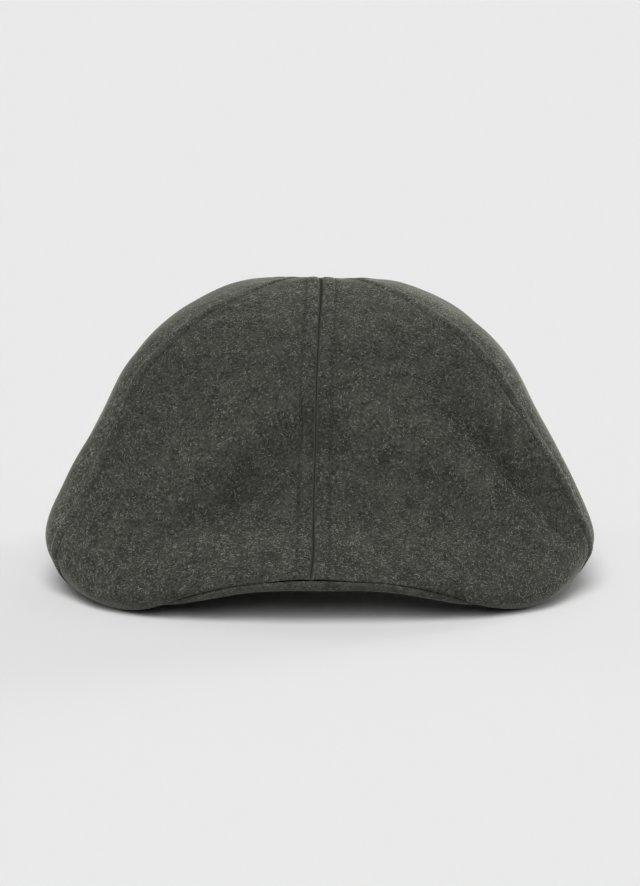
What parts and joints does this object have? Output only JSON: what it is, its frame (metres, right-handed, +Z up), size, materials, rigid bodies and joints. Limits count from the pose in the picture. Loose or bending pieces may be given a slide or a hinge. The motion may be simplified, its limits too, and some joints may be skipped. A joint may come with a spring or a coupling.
{
  "type": "flat cap",
  "caption": "Duckbill flat cap: a panelled wool crown drawn down over a curved stiff peak, hollow and open below for the head.",
  "frame": {"origin": "on the surface the cap stands on, under the middle of its bounding box", "axes": "+Z up, -Y the way the peak points, +X to the right of someone facing the peak"},
  "size_m": [0.2164, 0.2535, 0.1173],
  "materials": {
    "panel_wool": "felted melange wool, matt with a short nap",
    "peak_wool": "felted melange wool over a stiff board, matt"
  },
  "bodies": {
    "root": {"front_panel_left": "panel_wool", "front_panel_right": "panel_wool", "side_panel_left": "panel_wool", "side_panel_right": "panel_wool", "back_panel_left": "panel_wool", "back_panel_right": "panel_wool", "peak": "peak_wool"}
  },
  "joints": []
}
